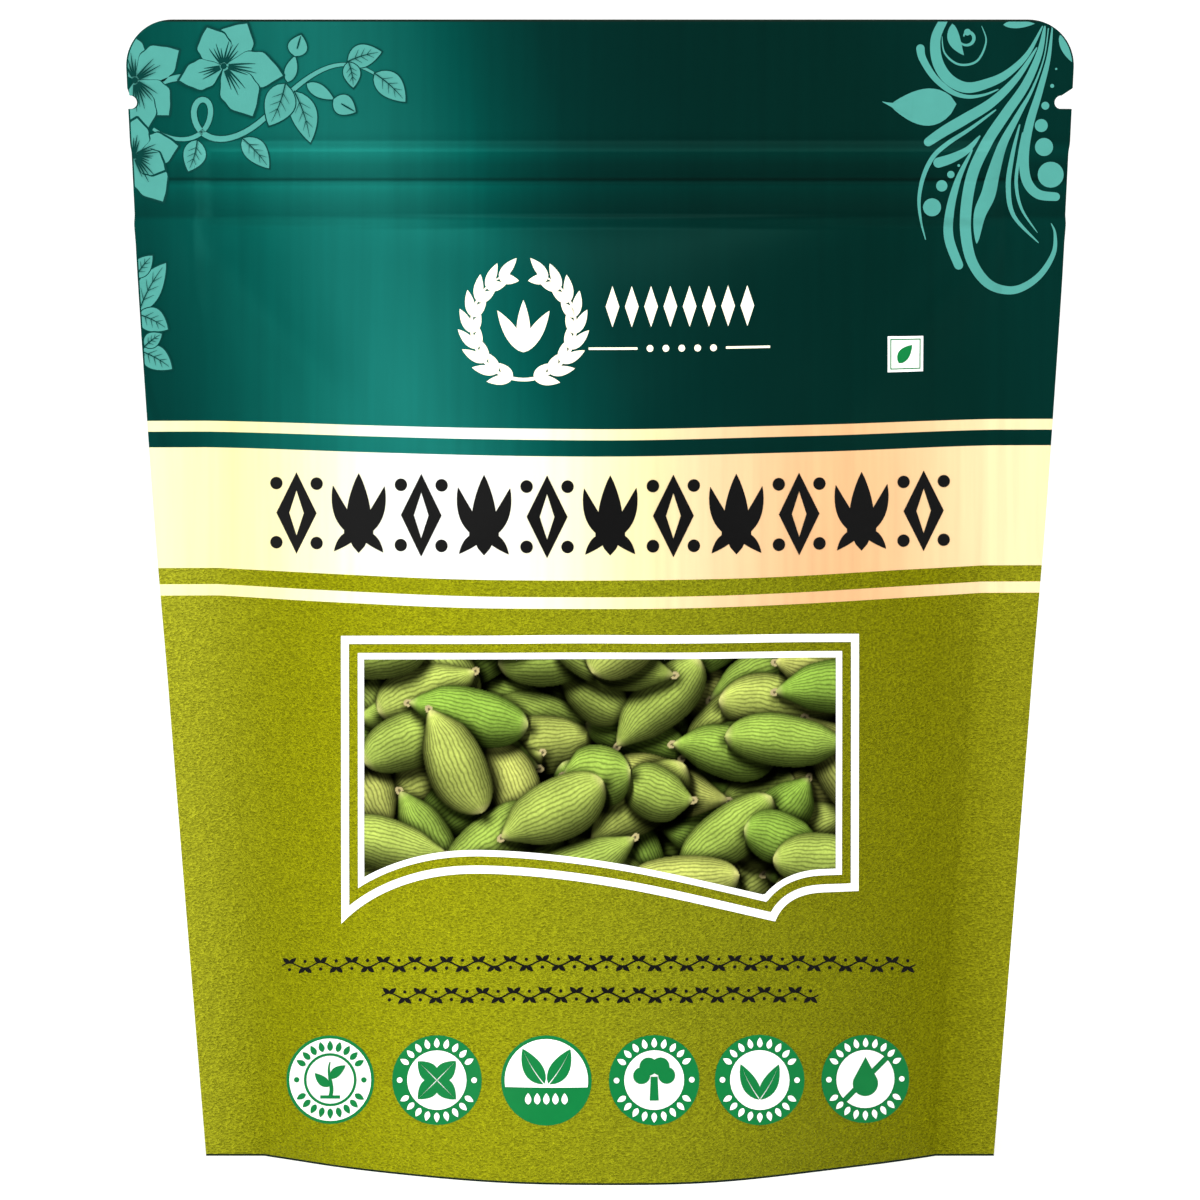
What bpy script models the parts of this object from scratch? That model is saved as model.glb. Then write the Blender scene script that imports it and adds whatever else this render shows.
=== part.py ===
"""A filled stand-up zip pouch for whole cardamom pods, in metres, +Z up, front towards -Y.

The origin is the middle of the base, on the surface that the pouch stands on. Two printed film panels are
sealed to each other down both sides and along the top. A folded gusset joins their lower edges and opens
into the base. A press-to-close zip lies between the panels below the top seal, and the pods fill the belly.
"""

import math
import random

import bmesh
import bpy
import numpy as np

# Driving dimensions of the pouch, in metres
FLAT_WIDTH = 0.1682
HEIGHT = 0.2025
SIDE_SEAL = 0.010
CORNER_RADIUS = 0.0085
FILM = 0.0003
GAP = 0.0003
BASE_HALF_DEPTH = 0.0363

# How the filled belly swells: its side profile, and its section low down and close under the zip
PROFILE_ROUNDING = 0.05
SECTION_POWER_LOW = 1.1
SECTION_POWER_HIGH = 2.2
SECTION_CHANGE_START = 0.085

# The flat top is wider: lower down, each side seal is drawn in by this much more than the film's arc takes
SEAL_PULL = 0.0018
SEAL_PULL_START = 0.163

# The zip: its flange's middle below the top edge, the flange's width, its tracks' place on it, and thicknesses
ZIP_DROP = 0.0290
ZIP_FLANGE = 0.0107
ZIP_TRACK_RISE = 0.0013
ZIP_FLANGE_THICKNESS = 0.0004
ZIP_INTERLOCK = 0.0014
ZIP_EASE = 0.0005
ZIP_FADE = 0.0022
ZIP_END_FADE = 0.06
ZIP_REACH = 0.92
ZIP_TRACK_SPACING = 0.0030
ZIP_CLEARANCE = 0.0002

# Tear notches in the side seals: the right one is a slot and the left one a nick
NOTCH_DROP = 0.0146
NOTCH_HEIGHT = 0.0024
NOTCH_DEPTH_RIGHT = 0.0031
NOTCH_DEPTH_LEFT = 0.0016
NOTCH_SIDES = 16

# The gusset: how high it is sealed to the panels, and where its middle lies flat on the surface
GUSSET_REACH = 0.965
SKIRT_HEIGHT = 0.008
GUSSET_FOLD = 0.036
GUSSET_FLAT = 0.44
GUSSET_FLAT_DEPTH = 0.55
GUSSET_SLACK = 0.0005

# The pods: the heap's top, its clearance to the film, and one pod's size
FILL_TOP = 0.118
FILL_DOME = 0.010
FILL_REACH = 0.90
FILL_CLEARANCE = 0.0009
POD_LENGTH = 0.0165
POD_RADIUS = 0.0042
POD_SIDES = 6
POD_SEED = 11

# Mesh fineness
PANEL_COLUMNS = 22
SECTION_SAMPLES = 200
GUSSET_COLUMNS = 24

ZIP_FOOT = HEIGHT - ZIP_DROP - ZIP_FLANGE / 2
ZIP_HEAD = HEIGHT - ZIP_DROP + ZIP_FLANGE / 2
ZIP_HALF_SPACE = ZIP_INTERLOCK / 2 + ZIP_FLANGE_THICKNESS + GAP
INNER_HALF_WIDTH = FLAT_WIDTH / 2 - SIDE_SEAL


def smooth(value):
    """An S curve from 0 to 1 as value runs from 0 to 1."""
    value = np.clip(value, 0.0, 1.0)
    return value * value * (3 - 2 * value)


def belly_depth(z):
    """Half the belly's depth in the middle of the pouch, at height z."""
    left = np.clip(1 - z / ZIP_FOOT, 0.0, 1.0)
    return BASE_HALF_DEPTH * left * np.sqrt((1 + PROFILE_ROUNDING) / (left + PROFILE_ROUNDING))


def zip_space(t, z):
    """The extra half space that the zip holds open between the panels."""
    below = smooth((z - (ZIP_FOOT - ZIP_EASE - ZIP_FADE)) / ZIP_FADE)
    above = smooth(((ZIP_HEAD + ZIP_EASE + ZIP_FADE) - z) / ZIP_FADE)
    ends = smooth((1 - np.abs(t)) / ZIP_END_FADE)
    return (ZIP_HALF_SPACE - GAP / 2) * below * above * ends


def half_space(t, z):
    """Half the space between the two panels' inner faces. t runs from -1 to 1 between the side seals."""
    change = smooth((z - SECTION_CHANGE_START) / (ZIP_FOOT - SECTION_CHANGE_START))
    power = SECTION_POWER_LOW + (SECTION_POWER_HIGH - SECTION_POWER_LOW) * change
    section = np.clip(1 - t * t, 0.0, 1.0) ** power
    return GAP / 2 + belly_depth(z) * section + zip_space(t, z)


def inner_half_width(z):
    """Half the distance between the side seals: film doesn't stretch, so the pouch narrows as it swells."""
    flat = INNER_HALF_WIDTH - SEAL_PULL * np.clip((HEIGHT - z) / (HEIGHT - SEAL_PULL_START), 0.0, 1.0)
    t = np.linspace(0.0, 1.0, SECTION_SAMPLES)
    depth = half_space(t, z)
    half = flat
    for _ in range(20):
        arc = np.hypot(np.diff(t) * half, np.diff(depth)).sum()
        half *= flat / arc
    return half


def new_object(name, mesh, colour, roughness):
    """A finished mesh as a named object with its own plain material."""
    material = bpy.data.materials.new(name)
    material.use_nodes = True
    shader = material.node_tree.nodes["Principled BSDF"]
    shader.inputs["Base Color"].default_value = (*colour, 1.0)
    shader.inputs["Roughness"].default_value = roughness
    shader.inputs["Metallic"].default_value = 0.0
    mesh.materials.append(material)
    made = bpy.data.objects.new(name, mesh)
    bpy.context.scene.collection.objects.link(made)
    return made


def mesh_of(name, points, faces, smooth_angle=math.radians(35)):
    """A mesh with its faces turned outwards, round parts shaded smooth."""
    mesh = bpy.data.meshes.new(name)
    mesh.from_pydata([tuple(p) for p in points], [], faces)
    work = bmesh.new()
    work.from_mesh(mesh)
    bmesh.ops.recalc_face_normals(work, faces=work.faces)
    work.to_mesh(mesh)
    work.free()
    mesh.shade_smooth()
    mesh.set_sharp_from_angle(angle=smooth_angle)
    return mesh


def closed_sheet(outer, inner):
    """Points and faces of the closed sheet between two grids of points, each rows x columns x 3."""
    rows, columns = outer.shape[:2]
    count = rows * columns
    points = np.concatenate([outer.reshape(-1, 3), inner.reshape(-1, 3)])
    faces = []
    for r in range(rows - 1):
        for c in range(columns - 1):
            a = r * columns + c
            quad = (a, a + 1, a + columns + 1, a + columns)
            faces.append(quad)
            faces.append(tuple(count + i for i in reversed(quad)))
    rim = [c for c in range(columns)]
    rim += [r * columns + columns - 1 for r in range(1, rows)]
    rim += [(rows - 1) * columns + c for c in range(columns - 2, -1, -1)]
    rim += [r * columns for r in range(rows - 2, 0, -1)]
    for a, b in zip(rim, rim[1:] + rim[:1]):
        faces.append((b, a, count + a, count + b))
    return points, faces


def grid_normals(grid):
    """The unit normal at each point of a grid of points."""
    across = np.gradient(grid, axis=1)
    along = np.gradient(grid, axis=0)
    normal = np.cross(across, along)
    return normal / np.linalg.norm(normal, axis=2, keepdims=True)


def panel_heights():
    """The heights of a panel's rows: even up the belly, closer round the zip and the rounded corners."""
    belly = np.linspace(0.0, ZIP_FOOT - 0.014, 18)
    shoulder = ZIP_FOOT - np.array([0.0085, 0.0050, 0.0026, ZIP_EASE])
    flange = np.array([ZIP_FOOT + 0.002, HEIGHT - ZIP_DROP, ZIP_HEAD + ZIP_EASE])
    header = ZIP_HEAD + ZIP_EASE + np.array([0.5, 1.0, 1.8]) * ZIP_FADE
    corner = HEIGHT - CORNER_RADIUS + CORNER_RADIUS * np.sin(np.radians([0, 20, 40, 58, 75, 90]))
    return np.concatenate([belly, shoulder, flange, header, corner])


def panel_row(z):
    """One row of a panel's inner face, from one side edge to the other, as x and half space."""
    inner = inner_half_width(z)
    t = np.sin(np.linspace(-math.pi / 2, math.pi / 2, PANEL_COLUMNS + 1))
    over = max(0.0, z - (HEIGHT - CORNER_RADIUS))
    cut_back = CORNER_RADIUS - math.sqrt(max(0.0, CORNER_RADIUS**2 - over**2))
    edge = inner + SIDE_SEAL - cut_back
    middle = inner + (edge - inner) * 0.5
    x = np.concatenate([[-edge, -middle], t * inner, [middle, edge]])
    depth = half_space(t, z)
    flat = np.full(2, GAP / 2)
    return x, np.concatenate([flat, depth, flat])


def make_panel(name, side, colour):
    """A front (side -1) or back (side 1) panel: one sheet of film, flat in its seals and swollen between."""
    rows = []
    for z in panel_heights():
        x, depth = panel_row(z)
        rows.append(np.stack([x, side * depth, np.full_like(x, z)], axis=1))
    inner = np.array(rows)
    normal = grid_normals(inner)
    normal *= np.sign(normal[:, :, 1:2]) * side
    normal[0, :, 2] = 0.0
    normal[-1, :, 2] = 0.0
    normal /= np.linalg.norm(normal, axis=2, keepdims=True)
    outer = inner + normal * FILM
    points, faces = closed_sheet(outer, inner)
    return new_object(name, mesh_of(name, points, faces), colour, 0.35)


def notch_cutter():
    """The two tear notches as one hidden cutter: slots with round ends that reach in from the side edges."""
    z = HEIGHT - NOTCH_DROP
    edge = inner_half_width(z) + SIDE_SEAL
    work = bmesh.new()
    radius = NOTCH_HEIGHT / 2
    for side, depth in ((1, NOTCH_DEPTH_RIGHT), (-1, NOTCH_DEPTH_LEFT)):
        centre = edge - depth + radius
        outline = [(edge + 0.004, z + radius), (edge + 0.004, z - radius)]
        for step in range(NOTCH_SIDES + 1):
            angle = -math.pi / 2 - math.pi * step / NOTCH_SIDES
            outline.append((centre + radius * math.cos(angle), z + radius * math.sin(angle)))
        start = [work.verts.new((side * x, -0.004, height)) for x, height in outline]
        cap = work.faces.new(start)
        swept = bmesh.ops.extrude_face_region(work, geom=[cap])
        moved = [v for v in swept["geom"] if isinstance(v, bmesh.types.BMVert)]
        bmesh.ops.translate(work, verts=moved, vec=(0.0, 0.008, 0.0))
    bmesh.ops.recalc_face_normals(work, faces=work.faces)
    mesh = bpy.data.meshes.new("notch_cutter")
    work.to_mesh(mesh)
    work.free()
    cutter = bpy.data.objects.new("notch_cutter", mesh)
    bpy.context.scene.collection.objects.link(cutter)
    cutter.hide_render = True
    cutter.display_type = "WIRE"
    return cutter


def cut_with(target, cutter):
    """Cuts target with a Boolean that stays on the object."""
    cut = target.modifiers.new("notches", "BOOLEAN")
    cut.operation = "DIFFERENCE"
    cut.solver = "EXACT"
    cut.object = cutter


def seal_height(t):
    """How high the gusset is sealed to the panels: a low skirt in the middle, rising to its fold at the sides."""
    return SKIRT_HEIGHT + (GUSSET_FOLD - SKIRT_HEIGHT) * np.abs(t / GUSSET_REACH) ** 3


def gusset_height(t, across):
    """The gusset's upper face between its two seal lines: on the surface in the middle, a ridge at the sides."""
    top = seal_height(t)
    lift = smooth((np.abs(t) - GUSSET_FLAT) / (GUSSET_REACH - GUSSET_FLAT))
    dip = (1 - lift) * (1 - smooth((np.abs(across) - GUSSET_FLAT_DEPTH) / (0.97 - GUSSET_FLAT_DEPTH)))
    return FILM + (top - FILM) * (1 - dip)


def gusset_point(t, across, z):
    """A point of the gusset or the fill: t between the side seals, across from front (-1) to back (1)."""
    room = half_space(t, z) - GUSSET_SLACK
    return (t * inner_half_width(z), across * room, z)


def make_gusset():
    """The folded base film: two skirts sealed inside the panels, and the boat-shaped floor between them."""
    skirt = np.array([0.0, 0.4, 0.8])
    floor = np.concatenate([[0.985, 0.94, 0.87, 0.78, 0.67], [GUSSET_FLAT_DEPTH, 0.25, 0.0]])
    rows = []
    for t in np.linspace(-GUSSET_REACH, GUSSET_REACH, GUSSET_COLUMNS + 1):
        front = [gusset_point(t, -1.0, seal_height(t) * part) for part in skirt]
        half_floor = [gusset_point(t, -a, gusset_height(t, a)) for a in floor]
        row = front + half_floor
        row += [(x, -y, z) for x, y, z in reversed(row[:-1])]
        rows.append(row)
    upper = np.array(rows)
    normal = grid_normals(upper)
    flip = np.sign(normal[:, len(skirt) + len(floor) - 1, 2])
    normal *= flip[:, None, None]
    normal[:, 0, 2] = 0.0
    normal[:, -1, 2] = 0.0
    normal /= np.linalg.norm(normal, axis=2, keepdims=True)
    lower = upper - normal * FILM
    lower[:, :, 2] = np.maximum(lower[:, :, 2], 0.0)
    lower[np.abs(lower[:, :, 2]) < 2e-5, 2] = 0.0
    points, faces = closed_sheet(upper, lower)
    return new_object("bottom_gusset", mesh_of("bottom_gusset", points, faces), (0.44, 0.46, 0.05), 0.4)


def extruded_strip(name, outline, colour):
    """A zip strip: its section, as (y, z) points, drawn out along X between the side seals."""
    reach = inner_half_width(HEIGHT - ZIP_DROP) * ZIP_REACH
    work = bmesh.new()
    start = [work.verts.new((-reach, y, z)) for y, z in outline]
    cap = work.faces.new(start)
    swept = bmesh.ops.extrude_face_region(work, geom=[cap])
    moved = [v for v in swept["geom"] if isinstance(v, bmesh.types.BMVert)]
    bmesh.ops.translate(work, verts=moved, vec=(2 * reach, 0.0, 0.0))
    bmesh.ops.recalc_face_normals(work, faces=work.faces)
    mesh = bpy.data.meshes.new(name)
    work.to_mesh(mesh)
    work.free()
    return new_object(name, mesh, colour, 0.5)


def make_zip():
    """The two halves of the zip, pressed shut: arrow ribs on the front strip, hooked rails on the back one."""
    middle = HEIGHT - ZIP_DROP
    half_flange = ZIP_FLANGE / 2
    inside = ZIP_INTERLOCK / 2
    outside = inside + ZIP_FLANGE_THICKNESS
    stem, head, head_length = 0.00025, 0.00045, 0.0005
    lip, rail, rail_height = 0.0003, 0.00035, 0.0012
    tip = inside - ZIP_CLEARANCE
    channel = head + ZIP_CLEARANCE

    front = [(-outside, middle - half_flange), (-inside, middle - half_flange)]
    back = [(outside, middle - half_flange), (inside, middle - half_flange)]
    for track in (-1, 1):
        z = middle + ZIP_TRACK_RISE + track * ZIP_TRACK_SPACING / 2
        front += [(-inside, z - stem), (tip - head_length, z - stem), (tip - head_length, z - head)]
        front += [(tip - 0.0001, z - stem), (tip - 0.0001, z + stem)]
        front += [(tip - head_length, z + head), (tip - head_length, z + stem), (-inside, z + stem)]
        mouth = inside - rail_height
        back += [(inside, z - channel - rail), (mouth, z - channel - rail)]
        back += [(mouth, z - stem - ZIP_CLEARANCE), (mouth + lip, z - stem - ZIP_CLEARANCE)]
        back += [(mouth + lip, z - channel), (inside, z - channel)]
        back += [(inside, z + channel), (mouth + lip, z + channel)]
        back += [(mouth + lip, z + stem + ZIP_CLEARANCE), (mouth, z + stem + ZIP_CLEARANCE)]
        back += [(mouth, z + channel + rail), (inside, z + channel + rail)]
    front += [(-inside, middle + half_flange), (-outside, middle + half_flange)]
    back += [(inside, middle + half_flange), (outside, middle + half_flange)]
    extruded_strip("zip_strip_front", front, (0.86, 0.88, 0.86))
    extruded_strip("zip_strip_back", back, (0.80, 0.83, 0.80))


def fill_top(t):
    """The height of the heap of pods, a little domed across the pouch."""
    return FILL_TOP + FILL_DOME * (1 - t * t)


def fill_point(t, across, share):
    """A point of the heap: share runs from the gusset (0) up to the heap's top (1)."""
    low = gusset_height(t, across) + FILL_CLEARANCE
    z = low + (fill_top(t) - low) * share
    room = half_space(t, z) - GUSSET_SLACK - FILM - FILL_CLEARANCE
    return (t * inner_half_width(z), across * max(room, 0.0004), z)


def heap_core():
    """The body of the heap: a block in the pouch's own coordinates, so it follows the film and the gusset."""
    along = np.linspace(-FILL_REACH, FILL_REACH, 17)
    across = np.array([-1.0, -0.9, -0.7, -0.35, 0.0, 0.35, 0.7, 0.9, 1.0])
    up = np.linspace(0.0, 1.0, 9)
    index = {}
    points = []

    def corner(i, j, k):
        if (i, j, k) not in index:
            index[i, j, k] = len(points)
            points.append(fill_point(along[i], across[j], up[k]))
        return index[i, j, k]

    last_i, last_j, last_k = len(along) - 1, len(across) - 1, len(up) - 1
    faces = []
    for i in range(last_i):
        for j in range(last_j):
            for k in (0, last_k):
                faces.append([corner(i, j, k), corner(i + 1, j, k), corner(i + 1, j + 1, k), corner(i, j + 1, k)])
        for k in range(last_k):
            for j in (0, last_j):
                faces.append([corner(i, j, k), corner(i + 1, j, k), corner(i + 1, j, k + 1), corner(i, j, k + 1)])
    for j in range(last_j):
        for k in range(last_k):
            for i in (0, last_i):
                faces.append([corner(i, j, k), corner(i, j + 1, k), corner(i, j + 1, k + 1), corner(i, j, k + 1)])
    return mesh_of("heap_core", points, faces)


def pod_mesh():
    """One cardamom pod: a three-sided spindle with rounded ridges, drawn out to a beak at one end."""
    profile = ((0.0, 0.18), (0.12, 0.62), (0.34, 0.98), (0.60, 0.92), (0.84, 0.45), (1.0, 0.12))
    points, faces = [], []
    for share, width in profile:
        for side in range(POD_SIDES):
            angle = 2 * math.pi * side / POD_SIDES
            ridge = 1.0 if side % 2 == 0 else 0.88
            radius = POD_RADIUS * width * ridge
            x = (share - 0.5) * POD_LENGTH
            points.append((x, radius * math.cos(angle), radius * math.sin(angle)))
    for ring in range(len(profile) - 1):
        for side in range(POD_SIDES):
            a = ring * POD_SIDES + side
            b = ring * POD_SIDES + (side + 1) % POD_SIDES
            faces.append((a, b, b + POD_SIDES, a + POD_SIDES))
    faces.append(tuple(range(POD_SIDES)))
    faces.append(tuple(range((len(profile) - 1) * POD_SIDES, len(profile) * POD_SIDES)))
    return mesh_of("pod", points, faces)


def place_pods(collection):
    """Pods lying on the heap's top, turned at random from a fixed seed and sunk half in."""
    draw = random.Random(POD_SEED)
    shape = pod_mesh()
    rows = ((-0.52, 9), (0.0, 10), (0.52, 9))
    for row, (across, count) in enumerate(rows):
        for number in range(count):
            t = -0.70 + 1.40 * (number + 0.5) / count + draw.uniform(-0.02, 0.02)
            x, y, z = fill_point(t, across * (1 - 0.4 * t * t), 1.0)
            pod = bpy.data.objects.new(f"pod_{row}_{number}", shape)
            pod.location = (x, y, z + draw.uniform(-0.0006, 0.0012))
            lean = draw.uniform(-0.25, 0.25)
            pod.rotation_euler = (draw.uniform(0, math.pi), lean, draw.uniform(-0.55, 0.55))
            collection.objects.link(pod)


def keep_outer_skin(mesh):
    """Drops what a union leaves besides its outer skin, such as a pocket that pods close between them."""
    work = bmesh.new()
    work.from_mesh(mesh)
    unseen = set(work.verts)
    skins = []
    while unseen:
        queue = [unseen.pop()]
        skin = set(queue)
        while queue:
            for edge in queue.pop().link_edges:
                for vert in edge.verts:
                    if vert in unseen:
                        unseen.discard(vert)
                        skin.add(vert)
                        queue.append(vert)
        skins.append(skin)
    skins.sort(key=len)
    for skin in skins[:-1]:
        bmesh.ops.delete(work, geom=list(skin), context="VERTS")
    work.to_mesh(mesh)
    work.free()


def make_fill():
    """The pods as one heap: a core that fills the belly, with whole pods standing out of its top."""
    pods = bpy.data.collections.new("loose_pods")
    bpy.context.scene.collection.children.link(pods)
    place_pods(pods)
    heap = new_object("pod_fill", heap_core(), (0.40, 0.50, 0.16), 0.7)
    join = heap.modifiers.new("pods", "BOOLEAN")
    join.operation = "UNION"
    join.solver = "EXACT"
    join.operand_type = "COLLECTION"
    join.collection = pods
    bpy.context.view_layer.update()
    graph = bpy.context.evaluated_depsgraph_get()
    joined = bpy.data.meshes.new_from_object(heap.evaluated_get(graph))
    keep_outer_skin(joined)
    heap.modifiers.clear()
    heap.data = joined
    for pod in list(pods.objects):
        bpy.data.objects.remove(pod)
    bpy.data.collections.remove(pods)
    return heap


def main():
    for leftover in list(bpy.data.objects):
        bpy.data.objects.remove(leftover)
    front = make_panel("front_panel", -1, (0.36, 0.42, 0.06))
    back = make_panel("back_panel", 1, (0.02, 0.17, 0.15))
    cutter = notch_cutter()
    cut_with(front, cutter)
    cut_with(back, cutter)
    make_gusset()
    make_zip()
    make_fill()


main()
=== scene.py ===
"""The looks of a filled stand-up pouch: satin printed film over a pressed-shut zip, and the print on it.

Print is placed by x and by height up the film, in metres, and then laid on the film's swollen surface.
"""

import math
import random

import bmesh
import bpy
import numpy as np
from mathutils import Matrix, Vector
from mathutils.geometry import tessellate_polygon


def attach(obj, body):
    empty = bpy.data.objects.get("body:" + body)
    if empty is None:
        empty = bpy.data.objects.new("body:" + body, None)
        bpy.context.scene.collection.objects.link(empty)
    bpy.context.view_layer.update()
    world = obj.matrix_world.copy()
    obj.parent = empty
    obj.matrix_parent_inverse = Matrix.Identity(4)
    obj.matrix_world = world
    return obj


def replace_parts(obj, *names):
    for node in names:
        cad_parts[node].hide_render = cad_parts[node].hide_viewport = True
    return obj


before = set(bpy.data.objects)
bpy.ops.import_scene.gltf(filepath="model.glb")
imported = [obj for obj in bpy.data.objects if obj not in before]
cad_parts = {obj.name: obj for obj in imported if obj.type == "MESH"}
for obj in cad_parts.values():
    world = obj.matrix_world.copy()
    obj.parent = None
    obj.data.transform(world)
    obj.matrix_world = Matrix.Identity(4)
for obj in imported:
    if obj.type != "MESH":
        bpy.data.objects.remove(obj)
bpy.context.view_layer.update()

# The pouch's dimensions, as its solids have them
FLAT_WIDTH = 0.1682
HEIGHT = 0.2025
SIDE_SEAL = 0.010
CORNER_RADIUS = 0.0085
FILM = 0.0003
GAP = 0.0003
BASE_HALF_DEPTH = 0.0363
PROFILE_ROUNDING = 0.05
SECTION_POWER_LOW = 1.1
SECTION_POWER_HIGH = 2.2
SECTION_CHANGE_START = 0.085
SEAL_PULL = 0.0018
SEAL_PULL_START = 0.163
NOTCH_DROP = 0.0146
NOTCH_HEIGHT = 0.0024
NOTCH_DEPTHS = {1: 0.0031, -1: 0.0016}

# The zip, and how its ribs and flange show through the film
ZIP_MIDDLE = HEIGHT - 0.0290
ZIP_FLANGE = 0.0107
ZIP_FOOT = ZIP_MIDDLE - ZIP_FLANGE / 2
ZIP_HALF_SPACE = 0.0014
ZIP_FADE = 0.0027
ZIP_END_FADE = 0.06

# The zip's relief in the film, from the flange's middle: height, width and how far it stands out
FLANGE_RIDGE = (0.0050, 0.0022, 0.00012)
TRACK_GROOVE = (0.0006, 0.00045, -0.00018)
TRACK_RIDGE = (-0.0012, 0.0019, 0.00016)
FLANGE_FOOT = (-0.0048, 0.0010, -0.00016)

# Painted shade and highlight along the zip's relief: height, and the film's colour there as a multiple of its
# own
ZIP_PAINTED_SHADES = (
    (0.1600, 1.00), (0.1670, 1.08), (0.1679, 0.76), (0.1698, 0.84), (0.1718, 1.00), (0.1731, 1.20),
    (0.1739, 0.85), (0.1743, 0.36), (0.1748, 0.72), (0.1770, 0.84), (0.1793, 1.26), (0.1812, 0.84),
    (0.1830, 0.92), (0.1900, 0.90),
)

# Soft forms in the film
CORNER_FOLD_START = (0.0715, 0.1660)
CORNER_FOLD_END = (0.0430, 0.1330)
CORNER_FOLD_WIDTH = 0.0055
CORNER_FOLD_HEIGHT = 0.0019
SEAL_CREASE = 0.00030
WAVE_HEIGHT = 0.00016
PRINT_SAG = 0.0006
PRINT_TILT = 0.0003

# Mesh fineness
ROW_STEP = 0.0014
ZIP_ROW_STEP = 0.00025
INNER_COLUMNS = 100
EDGE_COLUMNS = 12
EDGE_START = 0.9
SEAL_SHARES = (0.05, 0.10, 0.15, 0.29, 0.43, 0.57, 0.71, 0.85, 1.0)
PRINT_STEP = 0.0012
PRINT_EDGE_STEP = 0.0003
PRINT_EDGE_START = 0.066
PICTURE_STEP = 0.000165
LIFT = 0.00005
MOTIF_LIFT = 0.000005
MOTIF_RANKS = 12
PAIRED_RANKS = 24
OUTLINE = 0.0002

# The print's pale bands, as heights up the film
WIDE_BAND = (0.1055, 0.1269)
PALE_BANDS = ((0.1297, 0.1316), WIDE_BAND, (0.1006, 0.1026))
EDGE_LINE = 0.00035

# The window and its double frame
WINDOW_HALF_WIDTH = 0.0457
WINDOW_TOP = 0.0957
WINDOW_LEFT_TIP = 0.0446
WINDOW_CREST = (-0.0210, 0.0542)
WINDOW_RIGHT_TIP = (0.0308, 0.0454)
WINDOW_RIGHT_END = 0.0502
WINDOW_BOW = 0.0013
WINDOW_RISE = 0.0004
FRAME_LINES = ((0.0, 0.0014), (0.0030, 0.0041))

# The pods in the picture: ribs seen on each, how far they wander, and how dark the lines between them are
POD_RIBS = 20
RIB_WANDER = 11.0
RIB_DARKNESS = 0.52

# The smaller print
LEAF_BEND = 0.18
WREATH = (-0.0135, 0.1492, 0.0092)
EMBLEM_LINE = 0.14535
TITLE_HEIGHTS = (0.1096, 0.1239)
BADGE_RADIUS = 0.00795
BADGE_HEIGHT = 0.0173
BADGE_PLACES = (-0.0478, -0.0287, -0.0094, 0.0095, 0.0281, 0.0470)
MARK_PLACE = (0.0540, 0.1436)
LOW_PRINT_LEVEL = (0.00115, 1.28)

SCENE_SEED = 7

# The camera, fitted to the photograph's outline, and the studio
CAMERA_ELEVATION = 5.4
CAMERA_DISTANCE = 2.0
CAMERA_LENS = 338.0
CAMERA_AIM = 0.0995
WORLD_STRENGTH = 0.75
FLOOR_REACH = (3.4, 4.0)
LIGHT_AIM = 0.1
LIGHTS = (
    ("key_softbox", (-1.3, -1.2, 0.55), (0.9, 1.3), 17.0),
    ("top_softbox", (0.1, -0.9, 1.5), (1.2, 0.5), 14.0),
    ("fill_softbox", (1.4, -1.2, 0.5), (0.7, 1.2), 5.0),
)

# The film's sheen tint, and its colours across the pouch, which hold a painted highlight towards the left and
# painted shade towards the right: place, linear colour
FILM_SHEEN = (0.55, 0.95, 0.75, 1.0)
# How far the green's painted highlight leans across as the film rises, and the height where it is not moved
GREEN_SLANT = 0.25
SLANT_HEIGHT = 0.150
# Dark green: a painted highlight left of the middle, painted shade towards the right
GREEN_WITH_PAINTED_LIGHT = (
    (-0.0825, (0.0, 0.031, 0.026)), (-0.056, (0.001, 0.076, 0.062)),
    (-0.044, (0.004, 0.108, 0.09)), (-0.031, (0.004, 0.106, 0.088)),
    (-0.014, (0.0, 0.056, 0.046)), (0.002, (0.0, 0.023, 0.019)),
    (0.05, (0.0, 0.0155, 0.012)), (0.08, (0.0, 0.02, 0.016)),
)
# Cream: a painted reflection, near white in the middle, yellower to the left and peach to the right
CREAM_WITH_PAINTED_LIGHT = (
    (-0.076, (0.74, 0.71, 0.39)), (-0.062, (0.72, 0.64, 0.32)),
    (-0.042, (0.75, 0.74, 0.56)), (-0.028, (0.78, 0.78, 0.74)),
    (0.0, (0.74, 0.68, 0.4)), (0.018, (0.68, 0.5, 0.28)),
    (0.045, (0.66, 0.385, 0.19)), (0.072, (0.74, 0.58, 0.33)),
)
# Olive: painted light, brighter to the left and darker towards the right
OLIVE_WITH_PAINTED_LIGHT = (
    (-0.074, (0.375, 0.386, 0.016)), (-0.058, (0.284, 0.292, 0.003)),
    (-0.035, (0.335, 0.345, 0.004)), (0.01, (0.274, 0.285, 0.007)),
    (0.057, (0.215, 0.216, 0.001)), (0.074, (0.275, 0.276, 0.007)),
)
INSIDE_STOPS = tuple((x, (0.70, 0.71, 0.70)) for x in (-0.08, 0.08))


def smooth(value):
    """An S curve from 0 to 1 as value runs from 0 to 1."""
    value = np.clip(value, 0.0, 1.0)
    return value * value * (3 - 2 * value)


def hump(value, centre, width):
    """A soft hump of height 1 round centre."""
    return np.exp(-(((value - centre) / width) ** 2))


def belly_depth(z):
    """Half the belly's depth in the middle of the pouch, at height z."""
    left = np.clip(1 - z / ZIP_FOOT, 0.0, 1.0)
    return BASE_HALF_DEPTH * left * np.sqrt((1 + PROFILE_ROUNDING) / (left + PROFILE_ROUNDING))


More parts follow.
